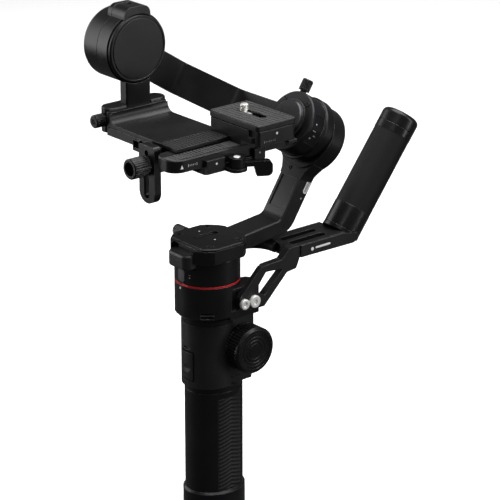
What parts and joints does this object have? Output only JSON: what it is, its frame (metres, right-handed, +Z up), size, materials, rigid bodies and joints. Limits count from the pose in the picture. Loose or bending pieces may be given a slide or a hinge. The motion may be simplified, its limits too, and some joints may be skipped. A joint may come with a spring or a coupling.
{
  "type": "camera gimbal",
  "caption": "Three-axis camera stabiliser with a main grip, an angled rear handle, motor arms and a quick-release camera stage.",
  "frame": {"origin": "mouth of the tripod thread under the main grip, on the grip's centre line", "axes": "+Z up along the main grip, -Y the way the lens looks, +X the operator's left"},
  "size_m": [0.1585, 0.2612, 0.4175],
  "materials": {
    "dark_aluminium": "satin black anodised, fine bead blast",
    "grey_aluminium": "dark grey anodised, fine bead blast",
    "light_metal": "bright turned metal",
    "red_anodised": "satin red anodised",
    "dark_plastic": "fine textured matt",
    "grip_rubber": "herringbone ribbed rubber",
    "foam_sleeve": "matt ribbed sleeve",
    "screw_steel": "bright screw steel",
    "insert_brass": "machined brass",
    "black_gloss": "gloss black",
    "red_plastic": "satin red",
    "light_plastic": "light grey satin",
    "core_steel": "laminated motor steel",
    "cell_wrap": "wrapped cells"
  },
  "bodies": {
    "handle": {"yaw_housing": "dark_aluminium", "accent_ring": "red_anodised", "yaw_stator": "core_steel", "control_body": "dark_plastic", "display_window": "black_gloss", "grip_core": "dark_plastic", "grip_pads": "grip_rubber", "base_cap": "dark_aluminium", "thread_insert": "insert_brass", "battery_cells": "cell_wrap", "extension_arm": "grey_aluminium", "extension_screws": "screw_steel", "extension_block": "grey_aluminium", "extension_panel": "grey_aluminium", "extension_brace": "dark_plastic", "extension_rod": "light_metal", "extension_sleeve": "foam_sleeve", "extension_cap": "grey_aluminium"},
    "record_button": {"record_button": "red_plastic"},
    "mode_button": {"mode_button": "light_plastic"},
    "stick_ring": {"joystick_ring": "screw_steel"},
    "stick": {"joystick_cap": "dark_plastic"},
    "wheel": {"focus_wheel": "dark_aluminium", "wheel_face": "light_metal"},
    "trigger": {"trigger": "dark_plastic"},
    "pan": {"pan_housing": "dark_aluminium", "pan_head": "dark_aluminium", "pan_top_plate": "dark_aluminium", "pan_plate_screws": "screw_steel", "yaw_rotor": "core_steel"},
    "pan_lock": {"pan_lock_button": "light_plastic"},
    "pan_knob": {"pan_clamp_knob": "dark_aluminium"},
    "pan_arm": {"pan_arm": "dark_aluminium", "pan_arm_nose": "dark_plastic", "roll_housing": "dark_aluminium", "roll_stator": "core_steel"},
    "roll": {"roll_ring": "dark_aluminium", "roll_side_panel": "black_gloss", "roll_hub": "light_metal", "roll_rotor": "core_steel"},
    "roll_knob": {"roll_clamp_knob": "dark_aluminium"},
    "roll_arm": {"roll_arm": "dark_aluminium", "tilt_housing": "dark_aluminium", "tilt_stator": "core_steel"},
    "tilt": {"tilt_ring": "dark_aluminium", "tilt_cap": "dark_aluminium", "tilt_rotor": "core_steel"},
    "stage": {"stage_bracket": "dark_aluminium", "stage_pad": "grip_rubber", "rail_clamp_base": "dark_aluminium"},
    "stage_knob": {"stage_knob": "dark_aluminium"},
    "cam_lever": {"cam_lever": "dark_aluminium"},
    "lens_support": {"lens_support": "dark_aluminium"},
    "lens_knob": {"lens_knob": "dark_aluminium"},
    "rail": {"rail": "dark_aluminium", "qr_clamp_body": "dark_aluminium"},
    "qr_lever": {"qr_lever": "grey_aluminium"},
    "qr_plate": {"qr_plate": "dark_aluminium"},
    "camera_screw": {"camera_screw": "screw_steel"}
  },
  "joints": [
    {"name": "record_press", "type": "slide", "parent": "handle", "child": "record_button", "axis": [0, -1, 0], "range_m": [0, 0.001], "stiffness_N_per_m": 900, "springref_m": -0.0005},
    {"name": "mode_press", "type": "slide", "parent": "handle", "child": "mode_button", "axis": [0, -1, 0], "range_m": [0, 0.001], "stiffness_N_per_m": 900, "springref_m": -0.0005},
    {"name": "stick_up_down", "type": "hinge", "parent": "handle", "child": "stick_ring", "pos_m": [0, 0.0239, 0.172], "axis": [1, 0, 0], "range_deg": [-18, 18], "stiffness_Nm_per_rad": 0.03},
    {"name": "stick_left_right", "type": "hinge", "parent": "stick_ring", "child": "stick", "pos_m": [0, 0.0239, 0.172], "axis": [0, 0, 1], "range_deg": [-18, 18], "stiffness_Nm_per_rad": 0.03},
    {"name": "wheel_spin", "type": "hinge", "parent": "handle", "child": "wheel", "pos_m": [0.026, 0.0148, 0.1614], "axis": [1, 0, 0], "continuous": true},
    {"name": "trigger_pull", "type": "hinge", "parent": "handle", "child": "trigger", "pos_m": [0, -0.0215, 0.159], "axis": [1, 0, 0], "range_deg": [0, 8], "stiffness_Nm_per_rad": 0.35, "springref_deg": -1.72},
    {"name": "pan_spin", "type": "hinge", "parent": "handle", "child": "pan", "pos_m": [0, -0.0055, 0.218], "axis": [0, 0, 1], "continuous": true},
    {"name": "pan_lock_press", "type": "slide", "parent": "pan", "child": "pan_lock", "axis": [0, 1, 0], "range_m": [0, 0.0015], "stiffness_N_per_m": 700, "springref_m": -0.0005},
    {"name": "pan_knob_turn", "type": "hinge", "parent": "pan", "child": "pan_knob", "pos_m": [-0.03, -0.0035, 0.2453], "axis": [-1, 0, 0], "continuous": true},
    {"name": "pan_arm_slide", "type": "slide", "parent": "pan", "child": "pan_arm", "axis": [0, -0.9945, -0.1045], "range_m": [0, 0.008]},
    {"name": "roll_spin", "type": "hinge", "parent": "pan_arm", "child": "roll", "pos_m": [0, 0.08675, 0.32109], "axis": [0, -0.8387, 0.5446], "range_deg": [-165, 165]},
    {"name": "roll_knob_turn", "type": "hinge", "parent": "roll", "child": "roll_knob", "pos_m": [-0.004, 0.09178, 0.34168], "axis": [0, 0.5446, 0.8387], "continuous": true},
    {"name": "roll_arm_slide", "type": "slide", "parent": "roll", "child": "roll_arm", "axis": [-1, 0, 0], "range_m": [0, 0.008]},
    {"name": "tilt_spin", "type": "hinge", "parent": "roll_arm", "child": "tilt", "pos_m": [-0.0923, -0.0105, 0.3842], "axis": [1, 0, 0], "range_deg": [-170, 57]},
    {"name": "stage_slide", "type": "slide", "parent": "tilt", "child": "stage", "axis": [0, 0, 1], "range_m": [-0.003, 0.008]},
    {"name": "stage_knob_turn", "type": "hinge", "parent": "stage", "child": "stage_knob", "pos_m": [-0.084, -0.0399, 0.3312], "axis": [0, -1, 0], "continuous": true},
    {"name": "cam_lever_turn", "type": "hinge", "parent": "stage", "child": "cam_lever", "pos_m": [0.031, -0.0015, 0.313], "axis": [0, 0, 1], "range_deg": [-75, 0]},
    {"name": "lens_support_slide", "type": "slide", "parent": "stage", "child": "lens_support", "axis": [0, 0, 1], "range_m": [0, 0.02]},
    {"name": "lens_knob_turn", "type": "hinge", "parent": "stage", "child": "lens_knob", "pos_m": [-0.015, -0.0518, 0.3144], "axis": [0, -1, 0], "continuous": true},
    {"name": "rail_slide", "type": "slide", "parent": "stage", "child": "rail", "axis": [0, 1, 0], "range_m": [-0.03, 0.001]},
    {"name": "qr_lever_swing", "type": "hinge", "parent": "rail", "child": "qr_lever", "pos_m": [0.0413, 0.0425, 0.335], "axis": [0, 0, 1], "range_deg": [0, 70]},
    {"name": "qr_plate_slide", "type": "slide", "parent": "rail", "child": "qr_plate", "axis": [-1, 0, 0], "range_m": [0, 0.012]},
    {"name": "camera_screw_turn", "type": "hinge", "parent": "qr_plate", "child": "camera_screw", "pos_m": [0.0042, 0.028, 0.344], "axis": [0, 0, 1], "continuous": true}
  ]
}
